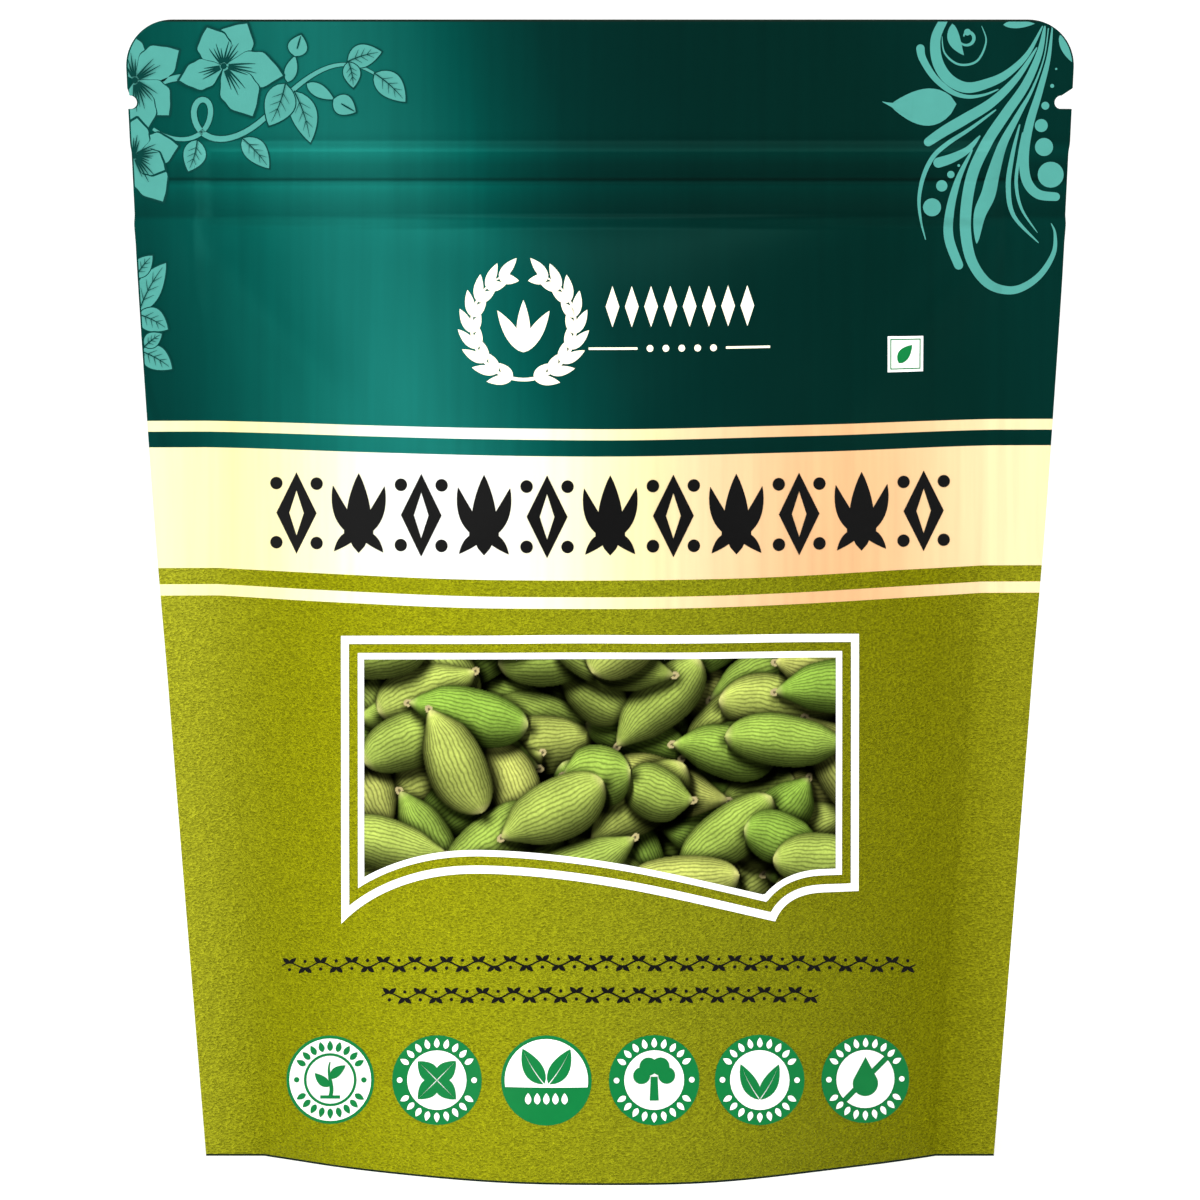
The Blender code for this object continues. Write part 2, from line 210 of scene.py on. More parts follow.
def half_space(t, z):
    """Half the space between the two panels. t runs from -1 to 1 between the side seals."""
    change = smooth((z - SECTION_CHANGE_START) / (ZIP_FOOT - SECTION_CHANGE_START))
    power = SECTION_POWER_LOW + (SECTION_POWER_HIGH - SECTION_POWER_LOW) * change
    section = np.clip(1 - t * t, 0.0, 1.0) ** power
    over_zip = smooth((ZIP_FLANGE / 2 + ZIP_FADE - np.abs(z - ZIP_MIDDLE)) / ZIP_FADE)
    ends = smooth((1 - np.abs(t)) / ZIP_END_FADE)
    return GAP / 2 + belly_depth(z) * section + (ZIP_HALF_SPACE - GAP / 2) * over_zip * ends


def solve_half_width(z):
    """Half the distance between the seals: film doesn't stretch, so the pouch narrows as it swells."""
    pull = SEAL_PULL * min((HEIGHT - z) / (HEIGHT - SEAL_PULL_START), 1.0)
    flat = FLAT_WIDTH / 2 - SIDE_SEAL - pull
    t = np.linspace(0.0, 1.0, 200)
    depth = half_space(t, z)
    half = flat
    for _ in range(20):
        half *= flat / np.hypot(np.diff(t) * half, np.diff(depth)).sum()
    return half


WIDTH_HEIGHTS = np.linspace(0.0, HEIGHT, 406)
WIDTHS = np.array([solve_half_width(z) for z in WIDTH_HEIGHTS])


def half_width(z):
    """solve_half_width for an array of heights."""
    return np.interp(z, WIDTH_HEIGHTS, WIDTHS)


def edge_reach(z, side):
    """How far the film reaches from the middle on one side, with its rounded corner and its notch."""
    over = np.clip(z - (HEIGHT - CORNER_RADIUS), 0.0, CORNER_RADIUS)
    cut_back = CORNER_RADIUS - np.sqrt(CORNER_RADIUS**2 - over**2)
    radius = NOTCH_HEIGHT / 2
    off = np.abs(z - (HEIGHT - NOTCH_DROP))
    bite = NOTCH_DEPTHS[side] - radius + np.sqrt(np.clip(radius**2 - off**2, 0.0, None))
    return half_width(z) + SIDE_SEAL - cut_back - np.where(off < radius, bite, 0.0)


def zip_relief(t, z):
    """The zip's flange and ribs, as they press the film outwards."""
    reach = 0.35 + 0.65 * smooth((1.0 - np.abs(t)) / 0.08)
    total = 0.0
    for offset, width, height in (FLANGE_RIDGE, TRACK_GROOVE, TRACK_RIDGE, FLANGE_FOOT):
        total = total + height * hump(z, ZIP_MIDDLE + offset, width)
    return total * reach


def corner_folds(x, z):
    """The soft folds that run inwards and down from the zip's two ends."""
    (x0, z0), (x1, z1) = CORNER_FOLD_START, CORNER_FOLD_END
    length = math.hypot(x1 - x0, z1 - z0)
    dx, dz = (x1 - x0) / length, (z1 - z0) / length
    along = ((np.abs(x) - x0) * dx + (z - z0) * dz) / length
    across = (np.abs(x) - x0) * dz - (z - z0) * dx
    body = smooth(along / 0.25 + 0.3) * smooth((1.25 - along) / 0.8)
    return CORNER_FOLD_HEIGHT * body * hump(across, 0.0, CORNER_FOLD_WIDTH)


def film_waves(x, z, side):
    """Faint waves in the full belly, from a fixed seed for each side."""
    draw = random.Random(SCENE_SEED + side)
    total = 0.0
    for _ in range(7):
        turn = draw.uniform(0, math.pi)
        pitch = draw.uniform(0.022, 0.055)
        phase = draw.uniform(0, 2 * math.pi)
        total = total + np.sin((x * math.cos(turn) + z * math.sin(turn)) * 2 * math.pi / pitch + phase)
    inside = smooth((1 - np.abs(x) / half_width(z)) / 0.25) * smooth((ZIP_MIDDLE - 0.012 - z) / 0.03)
    return WAVE_HEIGHT * total * inside


def film_point(x, h, side):
    """Points on the film's outer face: x across, h up the film, side -1 for the front and 1 for the back."""
    share = np.clip(1 - (x / half_width(h)) ** 2, 0.0, 1.0)
    slip = PRINT_SAG * share - PRINT_TILT * x / FLAT_WIDTH * 2
    z = h - slip * np.sin(np.pi * np.clip(h / ZIP_FOOT, 0.0, 1.0))
    half = half_width(z)
    t = x / half
    crease = SEAL_CREASE * hump(np.abs(x), half - 0.0004, 0.0009)
    depth = half_space(t, z) + FILM + zip_relief(t, z) + corner_folds(x, z) + film_waves(x, z, side) - crease
    depth = np.maximum(depth, GAP / 2 + FILM)
    return np.stack([x, side * depth, z], axis=-1)


def row_heights():
    """The film's rows: even up the pouch, closer at the zip, notches, corners and the print's edges."""
    even = np.arange(0.0, HEIGHT, ROW_STEP)
    at_zip = np.arange(ZIP_MIDDLE - 0.011, ZIP_MIDDLE + 0.010, ZIP_ROW_STEP)
    corner = HEIGHT - CORNER_RADIUS + CORNER_RADIUS * np.sin(np.radians(np.arange(0, 91, 5)))
    notch = HEIGHT - NOTCH_DROP + NOTCH_HEIGHT / 2 * np.cos(np.radians(np.arange(0, 181, 12)))
    edges = [*np.ravel(PALE_BANDS), EDGE_LINE, HEIGHT - EDGE_LINE, HEIGHT]
    return np.unique(np.round(np.concatenate([even, at_zip, corner, notch, edges]), 6))


def print_lines():
    """The upright lines that cut the print: closer near the side seals, where the film bends most."""
    middle = np.arange(-PRINT_EDGE_START, PRINT_EDGE_START + 1e-6, PRINT_STEP)
    edge = np.arange(PRINT_EDGE_START + PRINT_EDGE_STEP, FLAT_WIDTH / 2 + 0.004, PRINT_EDGE_STEP)
    return np.round(np.concatenate([-edge[::-1], middle, edge]), 6)


ROWS = row_heights()
PRINT_LINES = print_lines()


def film_surface(x, h, side):
    """film_point, but straight between PRINT_LINES and ROWS, so that layers of print don't cross."""
    i = np.clip(np.searchsorted(PRINT_LINES, x) - 1, 0, len(PRINT_LINES) - 2)
    j = np.clip(np.searchsorted(ROWS, h) - 1, 0, len(ROWS) - 2)
    left, right, low, high = PRINT_LINES[i], PRINT_LINES[i + 1], ROWS[j], ROWS[j + 1]
    u = ((x - left) / (right - left))[:, None]
    v = ((h - low) / (high - low))[:, None]
    lower = film_point(left, low, side) * (1 - u) + film_point(right, low, side) * u
    upper = film_point(left, high, side) * (1 - u) + film_point(right, high, side) * u
    return lower * (1 - v) + upper * v


def add_object(name, data, place=(0.0, 0.0, 0.0)):
    made = bpy.data.objects.new(name, data)
    made.location = place
    bpy.context.scene.collection.objects.link(made)
    return made


def link(name, mesh, slot, *materials):
    """A finished mesh as a piece of the pouch."""
    for material in materials:
        mesh.materials.append(material)
    made = add_object(name, mesh)
    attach(made, "root")
    return made


def film_band(h):
    """The number of the film's material at height h: 1 dark green, 2 cream, 3 olive, 4 a near-black line
    along the top and bottom edges.
    """
    if h > HEIGHT - EDGE_LINE or h < EDGE_LINE:
        return 4
    if any(low < h < high for low, high in PALE_BANDS):
        return 2
    return 1 if h > WIDE_BAND[1] else 3


def make_film(name, side, materials):
    """A printed panel as a fine closed sheet, with a material for each band of its print."""
    edge = np.linspace(EDGE_START, 1.0, EDGE_COLUMNS + 1)[1:]
    across = np.concatenate([-edge[::-1], np.linspace(-EDGE_START, EDGE_START, INNER_COLUMNS + 1), edge])
    seal = np.array(SEAL_SHARES)
    outer = []
    for h in ROWS:
        half = half_width(h)
        left = -half - (edge_reach(h, -1) - half) * seal[::-1]
        right = half + (edge_reach(h, 1) - half) * seal
        x = np.concatenate([left, across * half, right])
        outer.append(film_point(x, np.full_like(x, h), side))
    outer = np.array(outer)
    points = np.concatenate([outer.reshape(-1, 3), outer.reshape(-1, 3) - (0.0, side * FILM, 0.0)])
    grid = np.arange(outer[..., 0].size).reshape(outer.shape[:2])
    corners = (grid[:-1, :-1], grid[:-1, 1:], grid[1:, 1:], grid[1:, :-1])
    front = np.stack([corner.ravel() for corner in corners], axis=1)
    back = front[:, [0, 3, 2, 1]] + grid.size
    rim = np.concatenate([grid[0], grid[1:, -1], grid[-1, -2::-1], grid[-2:0:-1, 0]])
    after = np.roll(rim, -1)
    edges = np.stack([after, rim, rim + grid.size, after + grid.size], axis=1)
    faces = np.concatenate([front, back, edges])
    bands = np.repeat([film_band(h) for h in (ROWS[:-1] + ROWS[1:]) / 2], len(grid[0]) - 1).tolist()
    bands += [0] * len(back) + [4] * len(edges)
    if side > 0:
        faces = faces[:, ::-1]
    mesh = bpy.data.meshes.new(name)
    mesh.from_pydata(points.tolist(), [], faces.tolist())
    mesh.polygons.foreach_set("material_index", bands)
    mesh.shade_smooth()
    mesh.set_sharp_from_angle(angle=math.radians(40))
    return link(name, mesh, "front_film" if side < 0 else "back_film", *materials)


def printed(name, motifs, material, layer=1, side=-1, paired=None, level=(0.0, 0.0)):
    """Motifs, each a list of closed outlines of (x, h), as one thin layer of ink that follows the film.

    Two pieces can be paired: each motif of the first (0) lies just under its own of the second (1).
    level raises the print and sinks its ends, so that a row of print looks straight from the front.
    """
    work = bmesh.new()
    for number, motif in enumerate(motifs):
        rank = number % MOTIF_RANKS if paired is None else 2 * (number % PAIRED_RANKS) + paired
        rank *= MOTIF_LIFT
        for outline in motif:
            flat = [Vector((x, h + level[0] - level[1] * x * x, rank)) for x, h in outline]
            corners = [work.verts.new(p) for p in flat]
            for triangle in tessellate_polygon([flat]):
                work.faces.new([corners[i] for i in triangle])
    xs = [v.co.x for v in work.verts]
    hs = [v.co.y for v in work.verts]
    cuts = [((0.0, h, 0.0), (0.0, 1.0, 0.0)) for h in ROWS if min(hs) < h < max(hs)]
    cuts += [((x, 0.0, 0.0), (1.0, 0.0, 0.0)) for x in PRINT_LINES if min(xs) < x < max(xs)]
    for place, normal in cuts:
        everything = list(work.verts) + list(work.edges) + list(work.faces)
        bmesh.ops.bisect_plane(work, geom=everything, dist=1e-7, plane_co=place, plane_no=normal)
    work.normal_update()
    turned = [f for f in work.faces if (f.normal.z < 0) == (side < 0)]
    bmesh.ops.reverse_faces(work, faces=turned)
    work.verts.ensure_lookup_table()
    x = np.array([v.co.x for v in work.verts])
    h = np.minimum(np.array([v.co.y for v in work.verts]), HEIGHT - EDGE_LINE)
    reach = np.where(x > 0, edge_reach(h, 1), edge_reach(h, -1)) - 0.0003
    past = np.abs(x) > reach
    lost = [f for f in work.faces if all(past[v.index] for v in f.verts)]
    x = np.clip(x, -reach, reach)
    points = film_surface(x, h, side)
    points[:, 1] += side * (LIFT * layer + np.array([v.co.z for v in work.verts]))
    for vert, point in zip(work.verts, points):
        vert.co = point
    bmesh.ops.delete(work, geom=lost, context="FACES")
    mesh = bpy.data.meshes.new(name)
    work.to_mesh(mesh)
    work.free()
    mesh.shade_smooth()
    return link(name, mesh, "front_film" if side < 0 else "back_film", material)


def polar(cx, cz, radius, turn):
    """The point at an angle in degrees and a distance from (cx, cz)."""
    a = math.radians(turn)
    return (cx + radius * math.cos(a), cz + radius * math.sin(a))


def arc(cx, cz, radius, start, end, steps=24):
    return [polar(cx, cz, radius, turn) for turn in np.linspace(start, end, steps + 1)]


def disc(cx, cz, radius, steps=40):
    return arc(cx, cz, radius, 0, 360, steps)[:-1]


def strip(outer, inner, closed=True):
    """Quads between two lines that have the same number of points."""
    pairs = list(zip(outer, inner))
    following = pairs[1:] + pairs[:1] if closed else pairs[1:]
    return [[a, b, d, c] for (a, c), (b, d) in zip(pairs, following)]


def bezier(p0, p1, p2, p3, steps=18):
    made = []
    for k in range(steps + 1):
        s = k / steps
        w = ((1 - s) ** 3, 3 * s * (1 - s) ** 2, 3 * s * s * (1 - s), s**3)
        made.append(tuple(sum(w[i] * p[axis] for i, p in enumerate((p0, p1, p2, p3))) for axis in (0, 1)))
    return made


def through(points, steps=8):
    """A smooth line through points in millimetres, in metres."""
    knots = np.array([points[0], *points, points[-1]]) / 1000
    made = []
    for a, b, c, d in zip(knots, knots[1:], knots[2:], knots[3:]):
        for s in np.arange(steps) / steps:
            made.append(b + 0.5 * s * (c - a + s * (2 * a - 5 * b + 4 * c - d + s * (3 * b - a - 3 * c + d))))
    return [tuple(p) for p in made] + [tuple(knots[-1])]


def stroke(line, start_width, middle_width, end_width, lean=1.0):
    """A brush stroke along a line, with a round end: it swells, sooner if lean is under 1."""
    left, right = [], []
    last = len(line) - 1
    for k, (x, z) in enumerate(line):
        before, after = line[max(k - 1, 0)], line[min(k + 1, last)]
        dx, dz = after[0] - before[0], after[1] - before[1]
        size = math.hypot(dx, dz) or 1.0
        s = k / last
        ends = start_width * (1 - s) + end_width * s
        width = (ends + (middle_width - (start_width + end_width) / 2) * 4 * s**lean * (1 - s**lean)) / 2
        left.append((x - dz / size * width, z + dx / size * width))
        right.append((x + dz / size * width, z - dx / size * width))
    made = strip(left, right, closed=False)
    if end_width > 0.0005:
        heading = math.degrees(math.atan2(dz, dx))
        made.append(arc(*line[-1], end_width / 2, heading + 90, heading - 90, 10))
    return made


def curl(cx, cz, radius, start, turn, shrink, width):
    """A spiral stroke: it starts at radius and winds in by shrink over turn degrees."""
    shares = np.linspace(0.0, 1.0, 37)
    line = [polar(cx, cz, radius * (1 - shrink * s), start + turn * s) for s in shares]
    return stroke(line, width * 0.35, width, width * 0.35)


def leaf_frame(base, tip, bend):
    """A function that gives the point at share s along a bent leaf, and out to its side."""
    bx, bz = base
    dx, dz = tip[0] - bx, tip[1] - bz
    length = math.hypot(dx, dz)

    def at(s, out):
        off = bend * s * (1 - s) + out / length
        return (bx + dx * s - dz * off, bz + dz * s + dx * off)

    return at


def leaf_swell(s):
    """Half a leaf's width at share s of its length, for a leaf 1 wide."""
    return max(math.sin(math.pi * s**0.8), 0.0) ** 0.85 / 2


def leaf(base, tip, width, slit=0.0, bend=0.0):
    """A pointed leaf as one motif, with a slit down its middle if it has one."""
    at = leaf_frame(base, tip, bend)
    shares = [k / 12 for k in range(13)]
    if not slit:
        sides = [[at(s, hand * leaf_swell(s) * width) for s in shares] for hand in (-1, 1)]
        return strip(*sides, closed=False)
    made = []
    for hand in (-1, 1):
        gaps = [slit / 2 * (1 - s) for s in shares]
        edge = [at(s, hand * max(leaf_swell(s) * width, gap)) for s, gap in zip(shares, gaps)]
        made += strip(edge, [at(s, hand * gap) for s, gap in zip(shares, gaps)], closed=False)
    return made


def leaf_pair(x, z, base, tip, width, slit=0.0, bend=0.0):
    """A leaf and its mirrored twin beside (x, z), with base and tip measured from there."""
    made = []
    for hand in (-1, 1):
        ends = [(x + hand * dx, z + dz) for dx, dz in (base, tip)]
        made.append(leaf(*ends, width, slit, bend * hand))
    return made


def veins(base, tip, width, bend=LEAF_BEND):
    """The dark midrib and side veins of such a leaf."""
    at = leaf_frame(base, tip, bend)
    made = [stroke([at(s, 0.0) for s in np.linspace(0.0, 0.9, 10)], 0.00022, 0.00018, 0.00006)]
    for root in (0.22, 0.40, 0.58):
        for hand in (-1, 1):
            out = hand * 0.62 * leaf_swell(root + 0.17) * width
            line = [at(root + 0.17 * k, k * out) for k in (0.0, 0.35, 0.7, 1.0)]
            made.append(stroke(line, 0.00012, 0.00010, 0.00004))
    return made


def petal(base, tip, width, grown=0.0):
    """A petal, broad towards its pointed tip and waved along its sides, made larger by grown."""
    length = math.hypot(tip[0] - base[0], tip[1] - base[1])
    reach = (length + 2 * grown) / length
    tip = (base[0] + (tip[0] - base[0]) * reach, base[1] + (tip[1] - base[1]) * reach)
    at = leaf_frame(base, tip, 0.10)
    sides = []
    for hand in (-1, 1):
        side = []
        for s in np.linspace(0.0, 1.0, 21):
            swell = 5.3 * s**1.2 * (1 - s) ** 1.15 * (1 + 0.05 * math.sin(21 * s + hand))
            side.append(at(s, hand * (swell * width / 2 + grown)))
        sides.append(side)
    return strip(*sides, closed=False)


def flower(cx, cz, petals):
    """A flower from each petal's direction, and its length and width in millimetres."""
    teal, under, lines = [], [], []
    for turn, length, width in petals:
        tip, width = polar(cx, cz, length / 1000, turn), width / 1000
        teal.append(petal((cx, cz), tip, width))
        under.append(petal((cx, cz), tip, width, OUTLINE))
        at = leaf_frame((cx, cz), tip, 0.10)
        for side, reach in ((-1.0, 0.42), (-0.4, 0.56), (0.15, 0.48), (0.8, 0.52)):
            line = [at(s, side * 0.36 * width * s**0.8) for s in np.linspace(0.08, reach, 8)]
            lines.append(stroke(line, 0.00036, 0.00026, 0.00005))
    lines.append([disc(cx, cz, 0.00055, 12)])
    return teal, under, lines


def leaf_with_outline(base, tip, width, bend=LEAF_BEND):
    """A leaf and its outline a little larger under it."""
    more = OUTLINE / math.hypot(tip[0] - base[0], tip[1] - base[1])
    dx, dz = (tip[0] - base[0]) * more, (tip[1] - base[1]) * more
    under_base, under_tip = (base[0] - dx, base[1] - dz), (tip[0] + 2 * dx, tip[1] + 2 * dz)
    return leaf(base, tip, width, bend=bend), leaf(under_base, under_tip, width + 2 * OUTLINE, bend=bend)


def stroke_with_outline(line, start, middle, end):
    """A brush stroke and its outline a little larger under it."""
    outline = stroke(line, start + OUTLINE, middle + 2 * OUTLINE, end + OUTLINE)
    return stroke(line, start, middle, end), outline


def window_floor(x, distance):
    """The window's lower edge at x, moved in by distance: a scroll with a crest and two tips."""
    half = WINDOW_HALF_WIDTH
    left = bezier((-half, WINDOW_LEFT_TIP), (-0.0410, 0.0497), (-0.0330, 0.0541), WINDOW_CREST, 16)
    slope = bezier(WINDOW_CREST, (-0.0080, 0.0543), (0.0060, 0.0520), WINDOW_RIGHT_TIP, 18)
    end = (half - 0.006, WINDOW_RIGHT_END)
    scallop = bezier(WINDOW_RIGHT_TIP, (0.0322, 0.0490), (0.0355, 0.0503), end, 12)
    curve = np.array(left + slope[1:] + scallop[1:] + [(half, WINDOW_RIGHT_END)])
    reach = np.linspace(-distance, distance, 61)
    heights = np.interp(x[:, None] + reach, curve[:, 0], curve[:, 1]) + np.sqrt(distance**2 - reach**2)
    return heights.max(axis=1)


def window_outline(distance):
    """The window's outline moved in by distance: its lower edge from the left, then back along its top."""
    half = WINDOW_HALF_WIDTH - distance
    tip = np.interp(distance, (0.0, FRAME_LINES[1][1]), (WINDOW_RIGHT_TIP[0], WINDOW_RIGHT_TIP[0] - 0.0022))
    low = np.concatenate([np.linspace(-half, tip, 70), np.linspace(tip, half, 30)[1:]])
    x = np.concatenate([low, np.linspace(half, -half, 40)])
    h = np.concatenate([window_floor(low, distance), np.full(40, WINDOW_TOP - distance)])
    h += WINDOW_RISE - WINDOW_BOW * (x / WINDOW_HALF_WIDTH) ** 2
    return list(zip(x.tolist(), h.tolist()))


def inside_outline(x, z, outline):
    """Which of the points (x, z) lie inside a closed outline."""
    inside = np.zeros(x.shape, dtype=bool)
    for (x0, z0), (x1, z1) in zip(outline, outline[1:] + outline[:1]):
        if z0 == z1:
            continue
        crosses = (z0 > z) != (z1 > z)
        inside ^= crosses & (x < (x1 - x0) * (z - z0) / (z1 - z0) + x0)
    return inside


def paint_pods(x, z):
    """The picture in the window: a heap of green pods, painted one over another from a fixed seed.

    It gives each point's colour and its place among its pod's ribs: an angle and the ribs' strength.
    """
    draw = random.Random(SCENE_SEED)
    colour = np.tile(np.array([0.003, 0.007, 0.000]), (x.size, 1))
    rib_turns = np.zeros((x.size, 2))
    places = []
    for layer in range(3):
        for row in range(7):
            for column in range(8):
                cx = -0.048 + column * 0.0136 + (row % 2) * 0.0065 + draw.uniform(-0.003, 0.003)
                places.append((cx, 0.043 + row * 0.0083 + draw.uniform(-0.002, 0.002) + layer * 0.003))
    draw.shuffle(places)
    light = np.array([-0.20, 0.60, 0.77])
    green, yellow, tan = np.array([[0.200, 0.335, 0.045], [0.455, 0.465, 0.115], [0.50, 0.42, 0.20]])
    for number, (cx, cz) in enumerate(places):
        length, width = draw.uniform(0.0178, 0.0222), draw.uniform(0.0090, 0.0110)
        if draw.random() < 0.22:
            length *= 0.66
        depth = 0.50 + 0.50 * number / len(places)
        a = draw.choice((0, 180)) + draw.uniform(-60, 60)
        ca, sa = math.cos(math.radians(a)), math.sin(math.radians(a))
        tone, phase = draw.random() ** 1.4, draw.uniform(-0.6, 0.6)

        def own(dx, dz):
            u = (dx * ca + dz * sa) / (length / 2)
            w = -dx * sa + dz * ca + 0.0006 * np.sin(2.2 * u + phase)
            body = np.clip(1 - u * u, 0.0, 1.0) ** 0.55 * (1 - 0.16 * u)
            return u, w, width / 2 * body * (1 - 0.30 * smooth((u - 0.45) / 0.5))

        u, w, radius = own(x - cx - 0.0004, z - cz + 0.0008)
        beside, past = np.clip(np.abs(w) - radius, 0.0, None), np.clip(np.abs(u) - 1, 0.0, None)
        away = np.hypot(beside, past * length / 2)
        colour *= (0.05 + 0.95 * smooth(away / 0.0025))[:, None]
        u, w, radius = own(x - cx, z - cz)
        stalk = np.hypot((u - 1.02) * length / 2, w * 1.2)
        colour[stalk < 0.0008] = tan * 0.75
        colour[stalk < 0.0003] = tan * 0.2
        rib_turns[stalk < 0.0008] = 0.0
        hit = (np.abs(u) < 1) & (np.abs(w) < radius)
        v = w[hit] / radius[hit]
        u = u[hit]
        out = np.sqrt(1 - v * v)
        nx, nz = -sa * v + ca * 0.42 * u, ca * v + sa * 0.42 * u
        size = np.sqrt(nx**2 + nz**2 + out**2)
        lit = np.clip((nx * light[0] + nz * light[1] + out * light[2]) / size, 0.0, 1.0)
        turn = np.arcsin(v)
        wander = 0.7 * np.sin(3.1 * turn + phase * 7) + 0.5 * np.sin(2.4 * u + phase)
        rib_turns[hit, 0] = turn * POD_RIBS * 2 + wander
        rib_turns[hit, 1] = 1 - 0.7 * smooth((np.abs(u) - 0.6) / 0.4)
        lobe = 0.5 + 0.5 * np.cos(turn * 2.4 + phase * 2)
        blotch = 0.5 + 0.5 * np.sin(5.0 * u + 3.0 * turn + 9 * phase) * np.sin(3.0 * u - 4.0 * turn)
        ends = smooth((np.abs(u) - 0.84) / 0.16)
        own_colour = green * (1 - tone) + yellow * tone
        skin = own_colour[None, :] * (1 - 0.45 * ends[:, None]) + tan[None, :] * 0.45 * ends[:, None]
        shade = (0.16 + 1.10 * lit**1.8) * (0.78 + 0.26 * lobe) * (0.86 + 0.24 * blotch)
        colour[hit] = skin * (depth * shade * (1 - 0.70 * np.abs(v) ** 7))[:, None] * 1.26
    return np.clip(colour, 0.0, 1.0), rib_turns


def make_picture(name, start, end, outline, material):
    """The picture from x start to end: a fine grid inside the window's outline, coloured by paint_pods."""
    across = start + PICTURE_STEP * np.arange(round((end - start) / PICTURE_STEP) + 1)
    up = np.arange(WINDOW_LEFT_TIP, WINDOW_TOP, PICTURE_STEP)
    x, h = np.meshgrid(across, up)
    keep = inside_outline(x[:-1, :-1] + PICTURE_STEP / 2, h[:-1, :-1] + PICTURE_STEP / 2, outline)
    columns = len(across)
    row, column = np.nonzero(keep)
    corners = (row * columns + column)[:, None] + (0, 1, columns + 1, columns)
    used, faces = np.unique(corners, return_inverse=True)
    x, h = x.ravel()[used], h.ravel()[used]
    points = film_surface(x, h, -1)
    points[:, 1] -= LIFT
    mesh = bpy.data.meshes.new(name)
    mesh.from_pydata(points.tolist(), [], faces.reshape(-1, 4).tolist())
    for layer, values in zip(("Print", "Ribs"), paint_pods(x, h)):
        paint = mesh.color_attributes.new(layer, "FLOAT_COLOR", "POINT")
        padded = np.concatenate([values, np.ones((x.size, 4 - values.shape[1]))], axis=1)
        paint.data.foreach_set("color", padded.ravel())
    mesh.shade_smooth()
    return link(name, mesh, "front_film", material)


def corner_vine():
    """A flowering vine and a sprig at the left: teal, outlines and dark lines. Leaves are in millimetres."""
    teal, under, lines = [], [], []

    def add(pair):
        teal.append(pair[0])
        under.append(pair[1])

    loop = bezier((-0.0790, 0.1832), (-0.0745, 0.1800), (-0.0700, 0.1812), (-0.0690, 0.1850), 14)
    loop += bezier((-0.0690, 0.1850), (-0.0680, 0.1890), (-0.0715, 0.1895), (-0.0718, 0.1862), 12)[1:]
    loop += bezier((-0.0718, 0.1862), (-0.0718, 0.1812), (-0.0660, 0.1790), (-0.0592, 0.1852), 16)[1:]
    loop += bezier((-0.0592, 0.1852), (-0.0520, 0.1930), (-0.0460, 0.1975), (-0.0392, 0.1925), 18)[1:]
    add(stroke_with_outline(loop, 0.0005, 0.0010, 0.0004))
    stalk = bezier((-0.0790, 0.1905), (-0.0760, 0.1925), (-0.0735, 0.1925), (-0.0705, 0.1922), 10)
    add(stroke_with_outline(stalk, 0.0008, 0.0011, 0.0016))
    leaves = (
        (-71.2, 181.2, -72.8, 175.7, 4), (-63.2, 181.5, -58.5, 176.3, 3.8),
        (-54, 189.8, -51.2, 180.8, 4.6), (-55.6, 191.2, -58.5, 183.8, 5.4),
        (-44.6, 195.1, -38.6, 196.8, 4), (-44.4, 195, -43.6, 190.5, 3),
        (-39.8, 193, -34.4, 188, 4.4), (-81.6, 151, -76.8, 159.5, 4.4),
        (-82.2, 157, -79.2, 160.8, 3), (-81.8, 150.5, -76.5, 147.8, 4.2),
        (-81.4, 144, -75.8, 140.8, 4.2), (-80.6, 144.8, -77.6, 147, 2.6),
    )
    for x0, z0, x1, z1, width in np.array(leaves) / 1000:
        add(leaf_with_outline((x0, z0), (x1, z1), width))
        lines += veins((x0, z0), (x1, z1), width)
    stalk = bezier((-0.0830, 0.1400), (-0.0800, 0.1450), (-0.0835, 0.1530), (-0.0822, 0.1590))
    add(stroke_with_outline(stalk, 0.0004, 0.0008, 0.0004))
    buds = (((-0.0552, 0.1915), (-0.0528, 0.1998), 0.0034), ((-0.0518, 0.1912), (-0.0432, 0.1862), 0.0036))
    for base, tip, width in buds:
        middle = (base[0] * 0.45 + tip[0] * 0.55, base[1] * 0.45 + tip[1] * 0.55)
        add(leaf_with_outline(base, middle, width * 0.62, 0.0))
        add(leaf_with_outline(middle, tip, width, 0.0))
        slit = [leaf_frame(middle, tip, 0.0)(s, 0.0) for s in np.linspace(0.35, 0.95, 6)]
        lines.append(stroke(slit, 0.0002, 0.0003, 0.0001))
    flowers = (
        (-0.0665, 0.1943,
         ((61, 8.6, 6.4), (-9, 10.6, 6.2), (-60, 10.2, 6.4), (113, 7.4, 5.6), (198, 8.2, 5))),
        (-0.0822, 0.1918, ((102, 8.8, 6.2), (34, 9.4, 6.2), (-46, 8.6, 6), (-84, 10, 5.6))),
        (-0.0824, 0.1785, ((12, 8, 5.6), (-58, 9.6, 5.8), (85, 6.6, 5), (-25, 6, 4.4))),
    )
    for cx, cz, petals in flowers:
        for pieces, more in zip((teal, under, lines), flower(cx, cz, petals)):
            pieces += more
    return teal, under, lines


